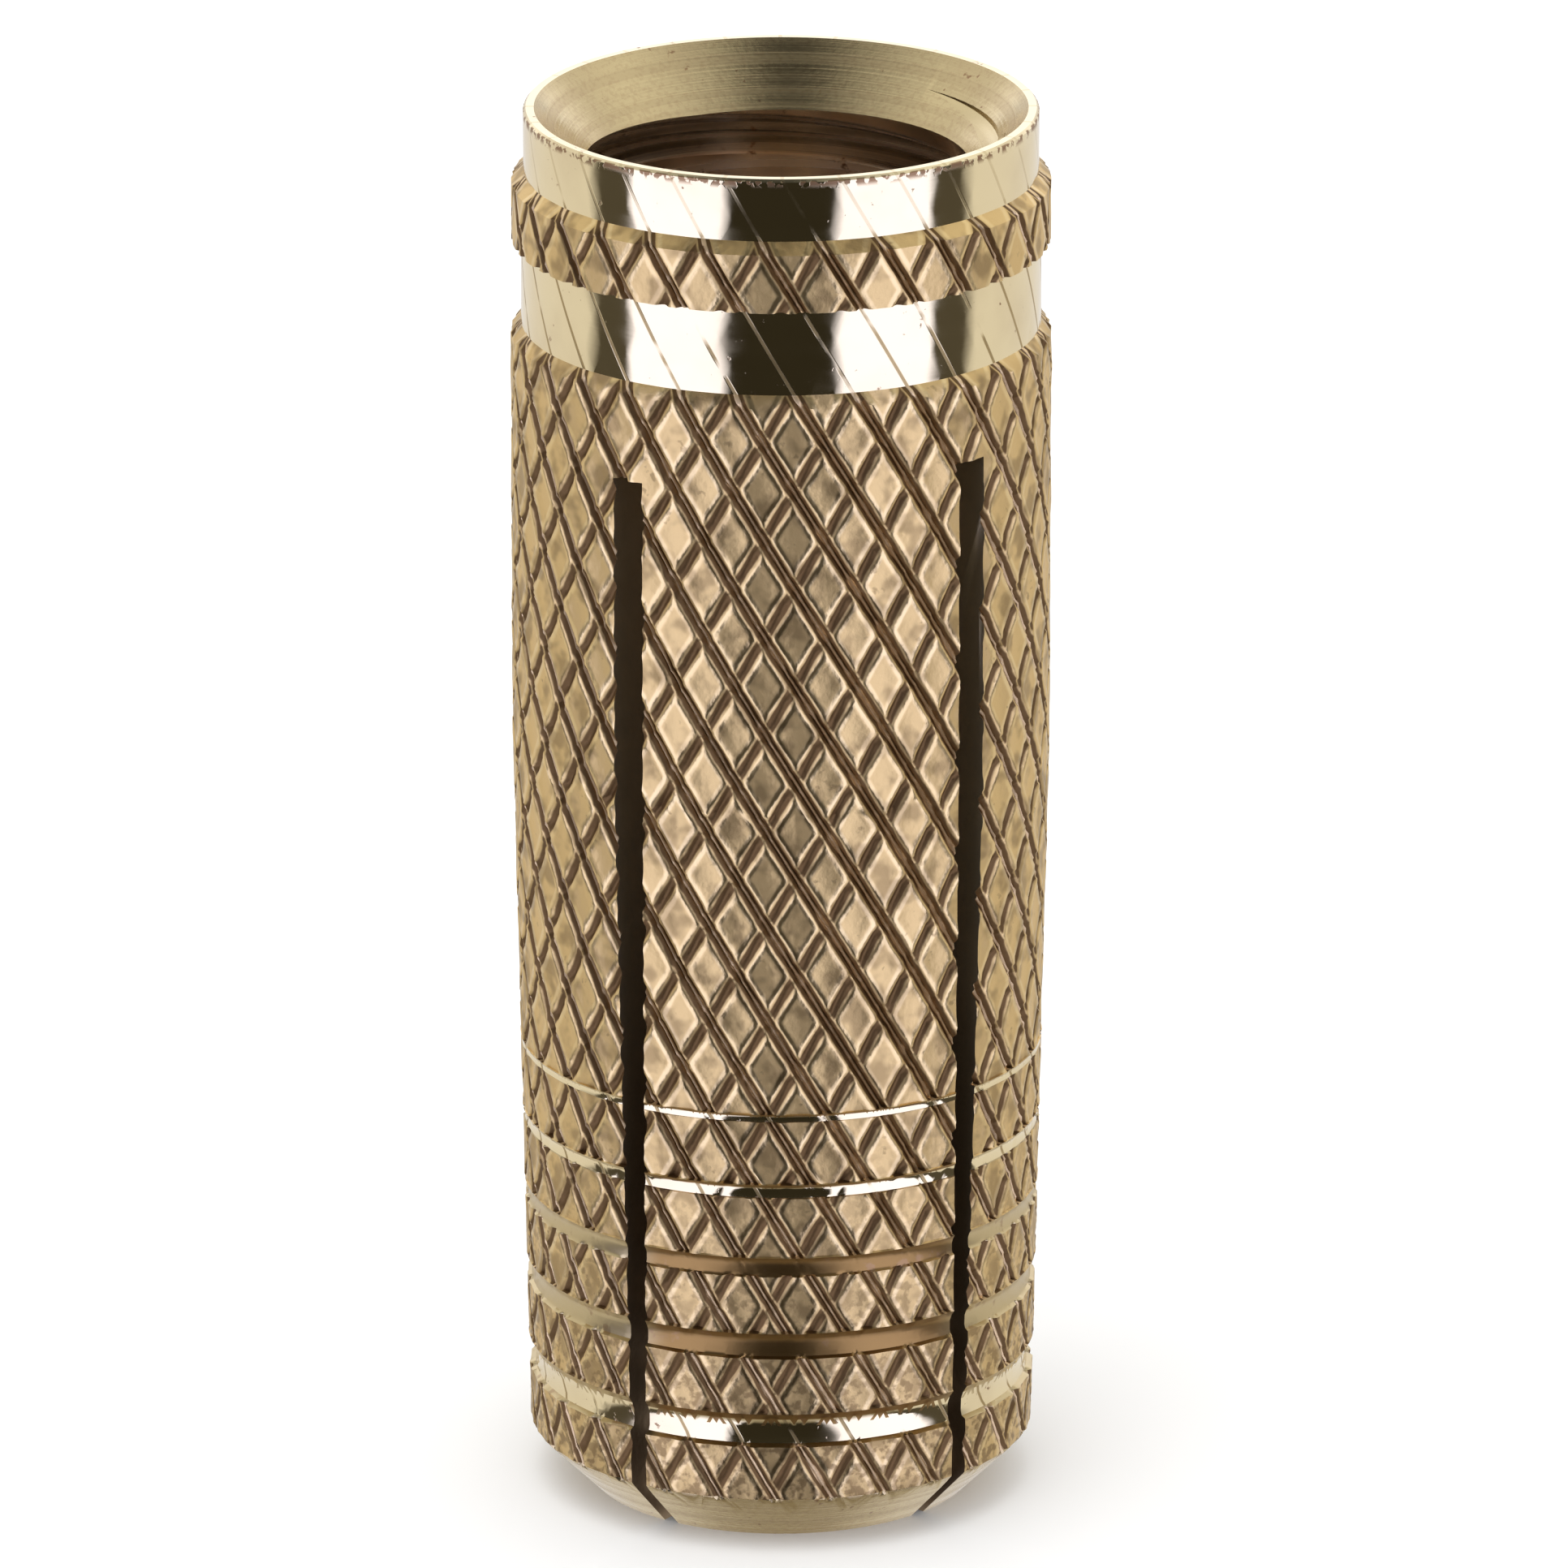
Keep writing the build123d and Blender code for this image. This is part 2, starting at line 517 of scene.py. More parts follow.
def saw_cut(sizes, slots, root, turn):
    """One cut right across the sleeve, rounded by the saw and narrowed by the squeeze."""
    bm = bmesh.new()
    reach = 0.75 * sizes.body
    saw = slots.saw / 2
    middle = root - sqrt(saw**2 - (sizes.body / 2) ** 2)
    points = 24
    below = bm.verts.new((-reach, 0, -reach)), bm.verts.new((reach, 0, -reach))
    arc = []
    for count in range(points + 1):
        x = reach * (1.0 - 2.0 * count / points)
        arc.append(bm.verts.new((x, 0, middle + sqrt(saw**2 - x**2))))
    side = bm.faces.new([*below, *arc])
    made = bmesh.ops.extrude_face_region(bm, geom=[side])
    far_side = {item for item in made["geom"] if isinstance(item, bmesh.types.BMVert)}
    for vert in bm.verts:
        vert.co.y = 1.0 if vert in far_side else -1.0
    cut_at(bm, sizes.squeeze_length)
    cut_at(bm, 0.0)
    for vert in bm.verts:
        share = min(max(vert.co.z / sizes.squeeze_length, 0.0), 1.0)
        vert.co.y *= (slots.tip_width + (slots.width - slots.tip_width) * share) / 2
    bmesh.ops.recalc_face_normals(bm, faces=bm.faces[:])
    turned = Vector((cos(turn), sin(turn)))
    for vert in bm.verts:
        x, y = vert.co.x, vert.co.y
        vert.co.x = x * turned.x - y * turned.y
        vert.co.y = x * turned.y + y * turned.x
    return bm


def as_object(name, bm, *materials):
    """Turns a finished bmesh into an object at the origin and frees it."""
    mesh = bpy.data.meshes.new(name)
    bm.to_mesh(mesh)
    bm.free()
    for material in materials:
        mesh.materials.append(material)
    thing = bpy.data.objects.new(name, mesh)
    bpy.context.scene.collection.objects.link(thing)
    return thing


def cut_away(thing, cutters):
    """Takes the cutters out of a solid for good; each leaves its own finish behind."""
    for cutter in cutters:
        cut = thing.modifiers.new(cutter.name, "BOOLEAN")
        cut.operation = "DIFFERENCE"
        cut.solver = "MANIFOLD"
        cut.material_mode = "TRANSFER"
        cut.object = cutter
    graph = bpy.context.evaluated_depsgraph_get()
    finished = bpy.data.meshes.new_from_object(thing.evaluated_get(graph), depsgraph=graph)
    thing.modifiers.clear()
    thing.data = finished
    for cutter in cutters:
        bpy.data.objects.remove(cutter)


# ---------------------------------------------------------------- finishes


def node(tree, kind, **values):
    """A node with its settings; a value that is another node's output is linked, and
    _0 and _1 are sockets by number."""
    made = tree.nodes.new(kind)
    for name, value in values.items():
        if hasattr(made, name):
            setattr(made, name, value)
            continue
        by_number = name[1:].isdigit()
        socket = made.inputs[int(name[1:]) if by_number else name.replace("_", " ")]
        if isinstance(value, bpy.types.NodeSocket):
            tree.links.new(value, socket)
        else:
            socket.default_value = value
    return made


def calc(tree, operation, *values):
    """One arithmetic step on numbers or outputs."""
    made = tree.nodes.new("ShaderNodeMath")
    made.operation = operation
    for socket, value in zip(made.inputs, values):
        if isinstance(value, bpy.types.NodeSocket):
            tree.links.new(value, socket)
        else:
            socket.default_value = value
    return made.outputs[0]


def fade(tree, value, low, high, start=0.0, end=1.0):
    """value's smooth way from low to high, as start to end."""
    made = node(
        tree,
        "ShaderNodeMapRange",
        interpolation_type="SMOOTHSTEP",
        Value=value,
        From_Min=low,
        From_Max=high,
        To_Min=start,
        To_Max=end,
    )
    return made.outputs["Result"]


def blend_colours(tree, share, low, high):
    made = tree.nodes.new("ShaderNodeMix")
    made.data_type = "RGBA"
    for socket, value in zip((made.inputs[0], made.inputs[6], made.inputs[7]), (share, low, high)):
        if isinstance(value, bpy.types.NodeSocket):
            tree.links.new(value, socket)
        else:
            socket.default_value = value if isinstance(value, float) else (*value, 1.0)
    return made.outputs[2]


def new_group(name, inputs, outputs):
    """An empty node group with plain number sockets, and its two ends."""
    group = bpy.data.node_groups.new(name, "ShaderNodeTree")
    for label, default in inputs:
        socket = group.interface.new_socket(label, in_out="INPUT", socket_type="NodeSocketFloat")
        socket.default_value = default
    for label in outputs:
        group.interface.new_socket(label, in_out="OUTPUT", socket_type="NodeSocketFloat")
    return group, group.nodes.new("NodeGroupInput"), group.nodes.new("NodeGroupOutput")


def use_group(tree, group, **values):
    made = tree.nodes.new("ShaderNodeGroup")
    made.node_tree = group
    for name, value in values.items():
        made.inputs[name].default_value = value
    return made


def object_place(tree):
    return node(tree, "ShaderNodeTexCoord").outputs["Object"]


def along(tree, place, axis):
    """One coordinate, X, Y or Z, of a place."""
    return node(tree, "ShaderNodeSeparateXYZ", Vector=place).outputs[axis]


def lumps(tree, place, per_metre, detail=2.0):
    """Soft random lumps from 0 to 1, mostly near 0.5."""
    return node(
        tree, "ShaderNodeTexNoise", Vector=place, Scale=per_metre, Detail=detail
    ).outputs[0]


def knurl_lines_group(knurl):
    """Distance from the nearest falling and rising valley, in cells, anywhere on the sleeve."""
    group, _, out = new_group("Knurl lines", [], ["Falling", "Rising"])
    place = object_place(group)
    back = calc(group, "MULTIPLY", along(group, place, "Y"), -1.0)
    angle = calc(group, "ARCTAN2", along(group, place, "X"), back)
    turn = calc(group, "MULTIPLY", angle, knurl.rounds / tau)
    for label, pitch, start in (
        ("Falling", knurl.falling_pitch, knurl.falling_start),
        ("Rising", -knurl.rising_pitch, knurl.rising_start),
    ):
        climb = calc(group, "MULTIPLY_ADD", along(group, place, "Z"), 1.0 / pitch, start)
        cell = calc(group, "ADD", turn, climb)
        group.links.new(calc(group, "PINGPONG", cell, 0.5), out.inputs[label])
    return group


def lathe_lines_group():
    """Fine rings that a turning tool leaves, and slow bands of brighter and duller metal.
    They run on over slopes and flat ends, because the radius counts as well as the height."""
    group, ends_in, out = new_group("Lathe lines", [("Lines", 9000.0)], ["Lines", "Bands"])
    bands_per_metre, radius_share = 1800.0, 1.7
    place = object_place(group)
    x, y = along(group, place, "X"), along(group, place, "Y")
    square = calc(group, "MULTIPLY_ADD", x, x, calc(group, "MULTIPLY", y, y))
    radius = calc(group, "MULTIPLY", calc(group, "SQRT", square), radius_share)
    travel = calc(group, "ADD", along(group, place, "Z"), radius)
    for label, per_metre, detail in (
        ("Lines", ends_in.outputs["Lines"], 3.0),
        ("Bands", bands_per_metre, 2.0),
    ):
        rings = node(
            group,
            "ShaderNodeTexNoise",
            noise_dimensions="1D",
            Scale=1.0,
            Detail=detail,
            W=calc(group, "MULTIPLY", travel, per_metre),
        )
        group.links.new(rings.outputs[0], out.inputs[label])
    return group


def specks_group():
    """Small scattered pits and stains, 1 in a speck and 0 elsewhere, and wide soft clouds."""
    inputs = [("Size", 3500.0), ("Limit", 0.86)]
    group, ends_in, out = new_group("Specks", inputs, ["Specks", "Cloud"])
    clouds_per_metre, cloud_share, sharpness = 420.0, 0.35, 14.0
    place = object_place(group)
    fine = lumps(group, place, ends_in.outputs["Size"], 3.0)
    cloud = lumps(group, place, clouds_per_metre, 3.0)
    together = calc(group, "ADD", fine, calc(group, "MULTIPLY", cloud, cloud_share))
    specks = calc(group, "SUBTRACT", together, ends_in.outputs["Limit"])
    specks = clamp(group, calc(group, "MULTIPLY", specks, sharpness))
    group.links.new(specks, out.inputs["Specks"])
    group.links.new(cloud, out.inputs["Cloud"])
    return group


def new_finish(name):
    """A bare metal material with its shader."""
    material = bpy.data.materials.new(name)
    material.use_nodes = True
    tree = material.node_tree
    tree.nodes.clear()
    out = tree.nodes.new("ShaderNodeOutputMaterial")
    shader = tree.nodes.new("ShaderNodeBsdfPrincipled")
    shader.inputs["Metallic"].default_value = 1.0
    tree.links.new(shader.outputs[0], out.inputs[0])
    return material, tree, shader


def clamp(tree, value):
    return node(tree, "ShaderNodeClamp", Value=value).outputs[0]


def bump(tree, shader, height, distance, strength=1.0):
    made = node(tree, "ShaderNodeBump", Height=height, Distance=distance, Strength=strength)
    tree.links.new(made.outputs[0], shader.inputs["Normal"])


def most(tree, *values):
    """The largest of several masks."""
    largest = values[0]
    for value in values[1:]:
        largest = calc(tree, "MAXIMUM", largest, value)
    return largest


def share_of(tree, *values):
    """Several masks multiplied together."""
    product = values[0]
    for value in values[1:]:
        product = calc(tree, "MULTIPLY", product, value)
    return product


def turned_finish(colours, groups, sizes):
    """Bright turned brass: fine rings, small stains, the last trace of the knurl's
    falling valleys, and a chipped edge under the mouth."""
    material, tree, shader = new_finish("turned_brass")
    place = object_place(tree)
    z = along(tree, place, "Z")
    lines = use_group(tree, groups["lathe"], Lines=14000.0)
    specks = use_group(tree, groups["specks"], Size=5200.0, Limit=0.885)
    knurl = use_group(tree, groups["knurl"])

    # in cells: the trace is full within the first of these distances and gone past the second
    trace_core, trace_edge = 0.022, 0.048
    trace = fade(tree, knurl.outputs["Falling"], trace_core, trace_edge, 1.0, 0.0)
    breaks = fade(tree, lumps(tree, place, 900.0), 0.34, 0.46)
    rim_base = sizes.height - sizes.rim_length
    on_rim = 0.35
    kept = fade(tree, z, rim_base, rim_base + 0.2 * MM, 1.0, on_rim)
    trace = share_of(tree, trace, breaks, kept)

    chips_low, chips_full = sizes.height - 0.26 * MM, sizes.height - 0.10 * MM
    edge_full, edge_gone = sizes.height - 0.05 * MM, sizes.height - 0.02 * MM
    under_lip = share_of(
        tree,
        fade(tree, z, chips_low, chips_full),
        fade(tree, z, edge_full, edge_gone, 1.0, 0.0),
        fade(tree, lumps(tree, place, 5200.0), 0.47, 0.53),
    )
    cloudy = fade(tree, specks.outputs["Cloud"], 0.45, 0.8, 0.0, 0.2)
    browned = most(tree, specks.outputs["Specks"], under_lip, cloudy)
    marked = most(tree, trace, browned)
    base = blend_colours(tree, browned, tuple(colours.bright), tuple(colours.speck))
    base = blend_colours(tree, trace, base, tuple(colours.trace))
    tree.links.new(base, shader.inputs["Base Color"])

    polished, brushed, dulled_by_marks = 0.05, 0.09, 0.35
    dull = fade(tree, lines.outputs["Bands"], 0.3, 0.7, polished, brushed)
    dull = calc(tree, "MULTIPLY_ADD", marked, dulled_by_marks, dull)
    tree.links.new(dull, shader.inputs["Roughness"])
    rings = calc(tree, "MULTIPLY", lines.outputs["Lines"], 0.2)
    bump(tree, shader, calc(tree, "SUBTRACT", rings, marked), 0.004 * MM, 0.6)
    return material


def countersunk_finish(colours, groups):
    """The reamed cone and the nose: duller, with rings that show."""
    material, tree, shader = new_finish("countersunk_brass")
    lines = use_group(tree, groups["lathe"], Lines=9000.0)
    specks = use_group(tree, groups["specks"], Size=4200.0, Limit=0.86)
    cloudy = fade(tree, specks.outputs["Cloud"], 0.45, 0.75)
    stain = calc(tree, "MULTIPLY", cloudy, 0.25)
    grain = lumps(tree, object_place(tree), 9000.0, 3.0)
    ring = fade(tree, lines.outputs["Bands"], 0.35, 0.65, 0.0, 0.15)
    ring = calc(tree, "ADD", ring, fade(tree, grain, 0.45, 0.65, 0.0, 0.2))
    marked = most(tree, specks.outputs["Specks"], stain, ring)
    base = blend_colours(tree, marked, tuple(colours.countersunk), tuple(colours.speck))
    tree.links.new(base, shader.inputs["Base Color"])
    reamed, torn = 0.18, 0.28
    dull = fade(tree, lines.outputs["Bands"], 0.3, 0.7, reamed, torn)
    tree.links.new(dull, shader.inputs["Roughness"])
    surface = calc(tree, "MULTIPLY_ADD", grain, 0.8, lines.outputs["Lines"])
    bump(tree, shader, surface, 0.006 * MM, 0.6)
    return material


def knurled_finish(colours, groups, knurl_sizes):
    """Rolled brass: dull diamonds, polished lips round them painted paler as a highlight, and
    valleys with a brown film and painted shade and, in the falling ones, a fine ridge painted
    paler as a highlight."""
    material, tree, shader = new_finish("knurled_brass")
    place = object_place(tree)
    knurl = use_group(tree, groups["knurl"])
    specks = use_group(tree, groups["specks"], Size=3600.0, Limit=0.84)
    cloud = specks.outputs["Cloud"]
    grain = lumps(tree, place, 5000.0, 4.0)
    unsteady = lumps(tree, place, 1500.0)
    wander = 0.04
    shift = calc(tree, "MULTIPLY_ADD", unsteady, 2 * wander, -wander)
    falling = calc(tree, "ADD", knurl.outputs["Falling"], shift)
    rising = calc(tree, "SUBTRACT", knurl.outputs["Rising"], shift)

    # distances from a valley's middle, in cells, from the valley's half width
    half = knurl_sizes.half_width
    lip_start, lip_end = 1.8 * half, 2.3 * half
    clear = fade(tree, falling, half, 1.5 * half)
    in_falling = fade(tree, falling, 0.85 * half, 1.15 * half, 1.0, 0.0)
    in_rising = share_of(tree, fade(tree, rising, 0.65 * half, 1.0 * half, 1.0, 0.0), clear)
    valley = most(tree, in_falling, in_rising)
    past_falling = fade(tree, falling, 1.1 * half, 1.5 * half)
    past_rising = fade(tree, rising, 1.0 * half, 1.4 * half)
    by_falling = fade(tree, falling, lip_start, lip_end, 1.0, 0.0)
    by_rising = share_of(tree, fade(tree, rising, lip_start, lip_end, 1.0, 0.0), clear)
    lip = share_of(tree, most(tree, by_falling, by_rising), past_falling, past_rising)
    # painted highlight: the fine ridge down each falling valley is painted paler, broken by the clouds
    crest = fade(tree, falling, 0.18 * half, 0.44 * half, 1.0, 0.0)
    ridge = share_of(tree, crest, fade(tree, cloud, 0.30, 0.5, 0.6, 1.0))

    # painted highlight: the lips are painted paler, in random patches
    patchy = fade(tree, cloud, 0.35, 0.65, 0.45, 1.0)
    lip_highlight = calc(tree, "MULTIPLY", lip, patchy)
    base = blend_colours(tree, lip_highlight, tuple(colours.knurled), tuple(colours.lip))
    # darker towards the tip, in grainy patches
    darkest_below, plain_above = 2 * MM, 13 * MM
    low = fade(tree, along(tree, place, "Z"), darkest_below, plain_above, 1.0, 0.0)
    near_tip = share_of(tree, low, fade(tree, grain, 0.42, 0.60, 0.1, 0.7))
    mottled = fade(tree, unsteady, 0.46, 0.66, 0.0, 0.5)
    speckled = calc(tree, "MULTIPLY", specks.outputs["Specks"], 0.45)
    # painted shade with a brown film in the valleys, darker towards the tip, random mottling and
    # specks
    film_and_shade = most(tree, valley, near_tip, mottled, speckled)
    base = blend_colours(tree, film_and_shade, base, tuple(colours.valley))
    base = blend_colours(tree, ridge, base, tuple(colours.ridge))
    tree.links.new(base, shader.inputs["Base Color"])

    diamond, polish, grime = 0.46, 0.18, 0.08
    dull = calc(tree, "MULTIPLY_ADD", lip, -polish, diamond)
    dull = calc(tree, "MULTIPLY_ADD", valley, grime, dull)
    tree.links.new(dull, shader.inputs["Roughness"])
    bump(tree, shader, calc(tree, "MULTIPLY_ADD", ridge, 0.8, grain), 0.022 * MM, 0.7)
    return material


def tapped_finish(colours, groups, sizes, thread):
    """The bore: darker, redder brass with painted copper highlights and painted shade towards the tip,
    but bright where the thread runs out in the cone.
    """
    material, tree, shader = new_finish("tapped_brass")
    place = object_place(tree)
    z = along(tree, place, "Z")
    lines = use_group(tree, groups["lathe"], Lines=11000.0)
    specks = use_group(tree, groups["specks"], Size=3000.0, Limit=0.84)
    cone = sizes.countersink_base
    near_mouth = fade(tree, z, cone - 0.3 * MM, cone + 0.2 * MM)
    # painted highlights: copper streaks along the bands and on the thread's crests
    highlight_streaks = fade(tree, lines.outputs["Bands"], 0.4, 0.65, 0.0, 0.6)
    axis = node(tree, "ShaderNodeCombineXYZ", Z=z).outputs[0]
    from_axis = node(tree, "ShaderNodeVectorMath", operation="DISTANCE", _0=place, _1=axis)
    crest = thread.crest_radius
    lit_crest = fade(
        tree, from_axis.outputs["Value"], crest + 0.02 * MM, crest + 0.15 * MM, 1.0, 0.0
    )
    painted_copper = most(tree, highlight_streaks, lit_crest)
    base = blend_colours(tree, painted_copper, tuple(colours.tapped), tuple(colours.copper_highlight))
    # painted shade deep in the bore, towards the tip
    base = blend_colours(tree, shade_deep_inside(tree, z), base, tuple(colours.valley))
    base = blend_colours(tree, near_mouth, base, tuple(colours.countersunk))
    base = blend_colours(tree, specks.outputs["Specks"], base, tuple(colours.speck))
    tree.links.new(base, shader.inputs["Base Color"])
    tapped, torn = 0.18, 0.30
    dull = fade(tree, lines.outputs["Bands"], 0.3, 0.7, tapped, torn)
    tree.links.new(dull, shader.inputs["Roughness"])
    bump(tree, shader, lines.outputs["Lines"], 0.004 * MM, 0.6)
    return material


def shade_deep_inside(tree, z):
    """Painted shade, growing towards the tip, where little light gets into the bore and the slots."""
    darkest, lit_above, most_dark = 1 * MM, 17 * MM, 0.8
    return fade(tree, z, darkest, lit_above, most_dark, 0.0)


def sawn_finish(colours):
    """Slot walls: dull brass with fine scratches, and painted shade towards the tip."""
    material, tree, shader = new_finish("sawn_brass")
    shader.inputs["Roughness"].default_value = 0.4
    place = object_place(tree)
    sawn_shade = shade_deep_inside(tree, along(tree, place, "Z"))
    # painted shade on the slot walls towards the tip
    base = blend_colours(tree, sawn_shade, tuple(colours.sawn), tuple(colours.valley))
    tree.links.new(base, shader.inputs["Base Color"])
    bump(tree, shader, lumps(tree, place, 6000.0), 0.008 * MM, 0.7)
    return material


def groove_shade_finish(colours, groups, sizes):
    """Ring grooves of the front leg, brown with painted shade and reflection on the side towards the
    camera; paler round the other legs.
    """
    material, tree, shader = new_finish("stained_brass")
    shader.inputs["Roughness"].default_value = 0.30
    lines = use_group(tree, groups["lathe"], Lines=9000.0)
    specks = use_group(tree, groups["specks"], Size=2600.0, Limit=0.80)
    # painted shade and reflection: brown on the side facing the camera, the cone's colour elsewhere
    front, beside = -0.40 * sizes.body, -0.34 * sizes.body
    left_beside = 0.1
    depth = along(tree, object_place(tree), "Y")
    on_front = fade(tree, depth, front, beside, 1.0, left_beside)
    speckled = calc(tree, "MULTIPLY", specks.outputs["Specks"], 0.6)
    base = blend_colours(tree, on_front, tuple(colours.countersunk), tuple(colours.browned))
    base = blend_colours(tree, speckled, base, tuple(colours.speck))
    tree.links.new(base, shader.inputs["Base Color"])
    bump(tree, shader, lines.outputs["Lines"], 0.004 * MM, 0.6)
    return material


# ---------------------------------------------------------------- operators


class MESH_OT_anchor_sleeve(bpy.types.Operator):
    """Make the knurled, tapped and slotted brass sleeve"""

    bl_idname = "mesh.anchor_sleeve"
    bl_label = "Anchor Sleeve"

    def execute(self, context):
        scene = context.scene
        sizes, knurl = scene.sleeve_sizes, scene.knurl_sizes
        thread, slots = scene.thread_sizes, scene.slot_sizes
        groups = {
            "knurl": knurl_lines_group(knurl),
            "lathe": lathe_lines_group(),
            "specks": specks_group(),
        }
        colours = scene.brass_colours
        knurled = knurled_finish(colours, groups, knurl)
        turned = turned_finish(colours, groups, sizes)
        countersunk = countersunk_finish(colours, groups)
        tapped = tapped_finish(colours, groups, sizes, thread)
        browned = groove_shade_finish(colours, groups, sizes)
        sawn = sawn_finish(colours)
        skin = knurled_skin(sizes, knurl)
        sleeve = as_object("anchor_sleeve_brass", skin, knurled, turned, browned, countersunk)
        self.mark_turned_faces(sleeve.data, sizes)
        half_leg = slots.leg_angle / 2
        cutters = [
            as_object("threaded_plug", threaded_plug(sizes, thread), tapped),
            as_object("countersink_cone", countersink_cone(sizes), countersunk),
            as_object("left_cut", saw_cut(sizes, slots, slots.root_left, pi / 2 - half_leg), sawn),
            as_object("right_cut", saw_cut(sizes, slots, slots.root_right, pi / 2 + half_leg), sawn),
        ]
        cut_away(sleeve, cutters)
        sleeve.data.shade_smooth()
        sleeve.data.set_sharp_from_angle(angle=SHARP_ANGLE)
        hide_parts(SLEEVE_NODE)
        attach(sleeve, "root")
        return {"FINISHED"}

    @staticmethod
    def mark_turned_faces(mesh, sizes):
        """Gives each outer face its finish. The floors of the second and third ring groove
        take the browner groove finish with its painted shade, like every groove's walls, and the other
        floors are bright."""
        rim_base = sizes.height - sizes.rim_length
        bands = [(rim_base, 2 * sizes.height), (sizes.body_top, rim_base - sizes.collar_length)]
        shaded_from, shaded_to = sizes.ring_heights[0] + MM, sizes.ring_heights[3] - MM
        for face in mesh.polygons:
            z = face.center.z
            in_groove = place_in_groove(sizes, z)
            if in_groove is not None and FLOOR_FROM < in_groove < FLOOR_TO:
                dull = shaded_from < z < shaded_to
                face.material_index = GROOVE_SHADE if dull else TURNED
            elif in_groove is not None:
                face.material_index = GROOVE_SHADE
            elif any(low < z < high for low, high in bands):
                face.material_index = TURNED
            elif z < sizes.nose:
                face.material_index = COUNTERSUNK
            else:
                face.material_index = KNURLED


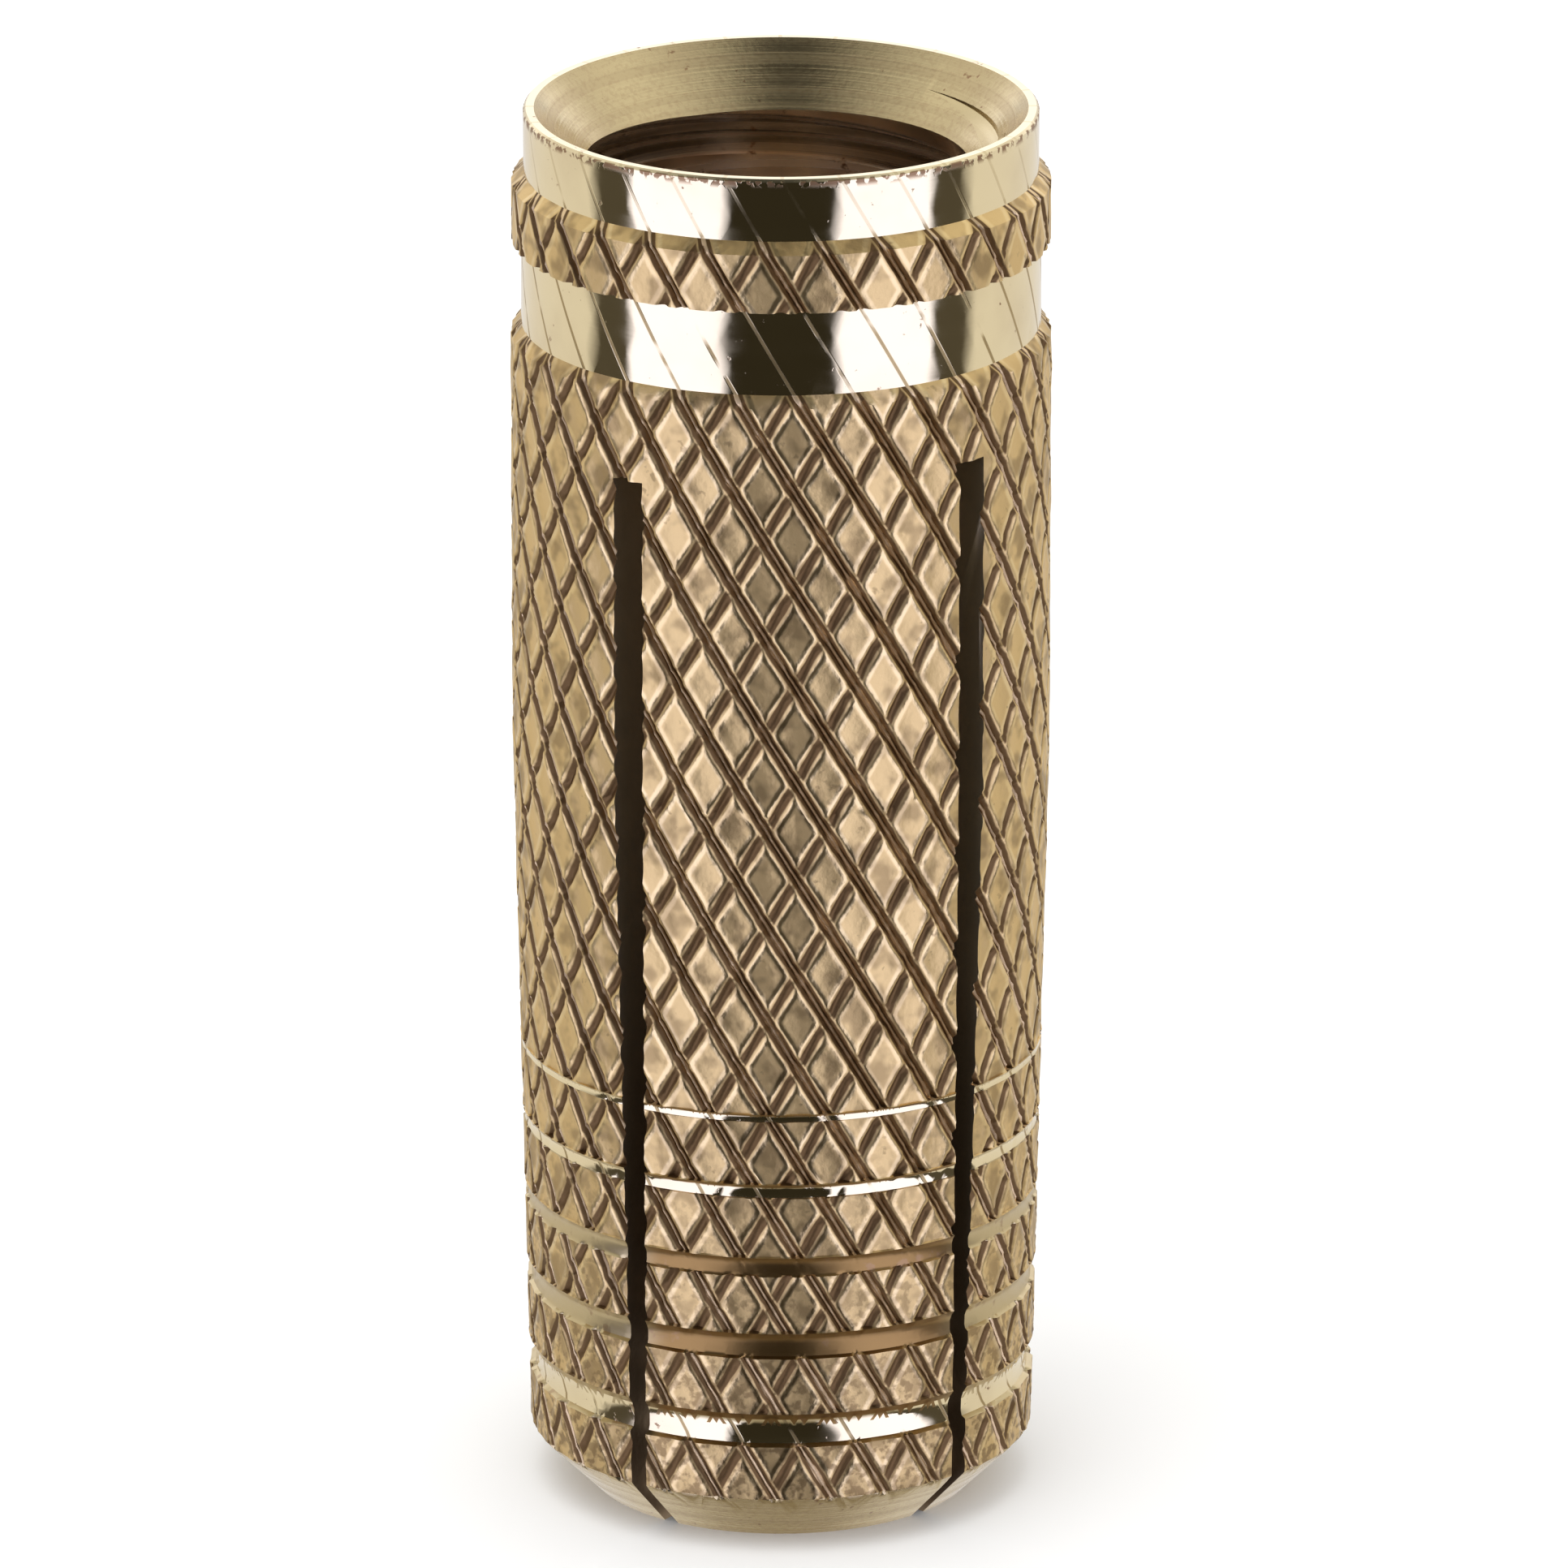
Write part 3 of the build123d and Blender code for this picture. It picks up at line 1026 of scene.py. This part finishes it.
class SCENE_OT_anchor_studio(bpy.types.Operator):
    """Set the pale floor, the soft light and the camera"""

    bl_idname = "scene.anchor_studio"
    bl_label = "Anchor Studio"

    def execute(self, context):
        settings = context.scene.studio_settings
        self.lay_floor(settings)
        self.light_world(context.scene, settings)
        self.hang_lamp(settings)
        self.place_camera(context.scene, settings)
        context.scene.view_settings.view_transform = "Standard"
        return {"FINISHED"}

    @staticmethod
    def lay_floor(settings):
        bm = bmesh.new()
        bmesh.ops.create_grid(bm, x_segments=1, y_segments=1, size=settings.floor_size)
        material = bpy.data.materials.new("pale_floor")
        material.use_nodes = True
        shader = material.node_tree.nodes["Principled BSDF"]
        shader.inputs["Base Color"].default_value = (*settings.floor, 1.0)
        shader.inputs["Roughness"].default_value = settings.floor_roughness
        floor = as_object("floor", bm, material)
        floor.visible_glossy = False

    @staticmethod
    def light_world(scene, settings):
        """White to the camera; pale and plain for soft light; and, in the metal, a studio
        of bright side cards with dark gaps in front and beside them."""
        world = bpy.data.worlds.new("studio")
        scene.world = world
        world.use_nodes = True
        tree = world.node_tree
        tree.nodes.clear()
        out = tree.nodes.new("ShaderNodeOutputWorld")
        direction = node(tree, "ShaderNodeTexCoord").outputs["Generated"]
        height = along(tree, direction, "Z")
        nearer = calc(tree, "MULTIPLY", along(tree, direction, "Y"), -1.0)
        azimuth = calc(tree, "ARCTAN2", along(tree, direction, "X"), nearer)
        turned = calc(tree, "SUBTRACT", azimuth, settings.azimuth)
        aside = calc(tree, "ABSOLUTE", calc(tree, "WRAP", turned, pi, -pi))
        share = calc(tree, "DIVIDE", aside, pi)

        # degrees aside from the camera, and the light that comes from there
        dark, card, side = (0.030, 0.026, 0.018), (1.45, 1.5, 2.15), (0.085, 0.075, 0.06)
        pale, back = (0.82, 0.80, 0.80), (0.84, 0.82, 0.82)
        stops = (
            (0, dark), (22.5, dark), (27.5, card), (69, card), (73, side), (88, side),
            (96, pale), (180, back),
        )
        cards = node(tree, "ShaderNodeValToRGB", Fac=share)
        ramp = cards.color_ramp
        ramp.elements[0].position = 0.0
        ramp.elements[0].color = (*stops[0][1], 1)
        ramp.elements[1].position = 1.0
        ramp.elements[1].color = (*stops[-1][1], 1)
        for degrees, light in stops[1:-1]:
            ramp.elements.new(degrees / 180).color = (*light, 1)

        # the light overhead, with a dark gap to the front and left
        gap_middle, gap_half, gap_end = radians(-10), radians(17), radians(135)
        in_gap, overhead = 0.06, 1.05
        from_gap = calc(tree, "ABSOLUTE", calc(tree, "SUBTRACT", turned, gap_middle))
        gap = fade(tree, from_gap, gap_half, gap_end, in_gap, overhead)
        high = fade(tree, height, 0.35, 0.75)

        # straight below, and a bright card behind the sleeve
        below, behind_card = (0.38, 0.34, 0.28), (1.4, 1.4, 1.5)
        low = fade(tree, height, -0.78, -0.97)
        behind = share_of(
            tree,
            fade(tree, share, 0.70, 0.88),
            fade(tree, height, 0.1, 0.25),
            fade(tree, height, 0.4, 0.6, 1.0, 0.0),
        )
        reflected = blend_colours(tree, behind, cards.outputs[0], behind_card)
        reflected = blend_colours(tree, high, reflected, gap)
        reflected = blend_colours(tree, low, reflected, below)

        soft_light, white = (1.15, 1.15, 1.15), (1.0, 1.0, 1.0)
        rays = node(tree, "ShaderNodeLightPath").outputs
        soft = blend_colours(tree, rays["Is Camera Ray"], soft_light, white)
        seen = blend_colours(tree, rays["Is Glossy Ray"], soft, reflected)
        background = node(tree, "ShaderNodeBackground", Color=seen)
        tree.links.new(background.outputs[0], out.inputs[0])

    @staticmethod
    def hang_lamp(settings):
        """One wide, soft lamp above and a little in front."""
        lamp = bpy.data.lights.new("soft_lamp", "AREA")
        lamp.shape = "DISK"
        lamp.size = settings.lamp_size
        lamp.energy = settings.lamp_power
        hung = bpy.data.objects.new("soft_lamp", lamp)
        hung.location = (-0.15, -0.2, 0.6)
        hung.rotation_euler = (-Vector(hung.location)).to_track_quat("-Z", "Y").to_euler()
        hung.visible_glossy = False
        bpy.context.scene.collection.objects.link(hung)

    @staticmethod
    def place_camera(scene, settings):
        lens = bpy.data.cameras.new("camera")
        lens.lens = settings.lens
        lens.shift_x = settings.shift
        lens.clip_start = 0.01
        camera = bpy.data.objects.new("camera", lens)
        scene.collection.objects.link(camera)
        back = Vector((
            sin(settings.azimuth) * cos(settings.elevation),
            -cos(settings.azimuth) * cos(settings.elevation),
            sin(settings.elevation),
        ))
        camera.location = Vector((0, 0, settings.aim_height)) + back * settings.distance
        camera.rotation_euler = back.to_track_quat("Z", "Y").to_euler()
        scene.camera = camera


class VIEW3D_PT_anchor(bpy.types.Panel):
    """Buttons that make the sleeve and set the studio"""

    bl_label = "Brass Expansion Anchor"
    bl_space_type = "VIEW_3D"
    bl_region_type = "UI"
    bl_category = "Anchor"

    def draw(self, context):
        self.layout.operator(MESH_OT_anchor_sleeve.bl_idname)
        self.layout.operator(SCENE_OT_anchor_studio.bl_idname)


SETTINGS = {
    "sleeve_sizes": SleeveSizes,
    "slot_sizes": SlotSizes,
    "knurl_sizes": KnurlSizes,
    "thread_sizes": ThreadSizes,
    "brass_colours": BrassColours,
    "studio_settings": StudioSettings,
}
CLASSES = [*SETTINGS.values(), MESH_OT_anchor_sleeve, SCENE_OT_anchor_studio, VIEW3D_PT_anchor]


def register():
    for cls in CLASSES:
        bpy.utils.register_class(cls)
    for name, group in SETTINGS.items():
        setattr(bpy.types.Scene, name, PointerProperty(type=group))


def unregister():
    for name in SETTINGS:
        delattr(bpy.types.Scene, name)
    for cls in reversed(CLASSES):
        bpy.utils.unregister_class(cls)


def main():
    register()
    bpy.ops.mesh.anchor_sleeve()
    bpy.ops.scene.anchor_studio()


if __name__ == "__main__":
    main()
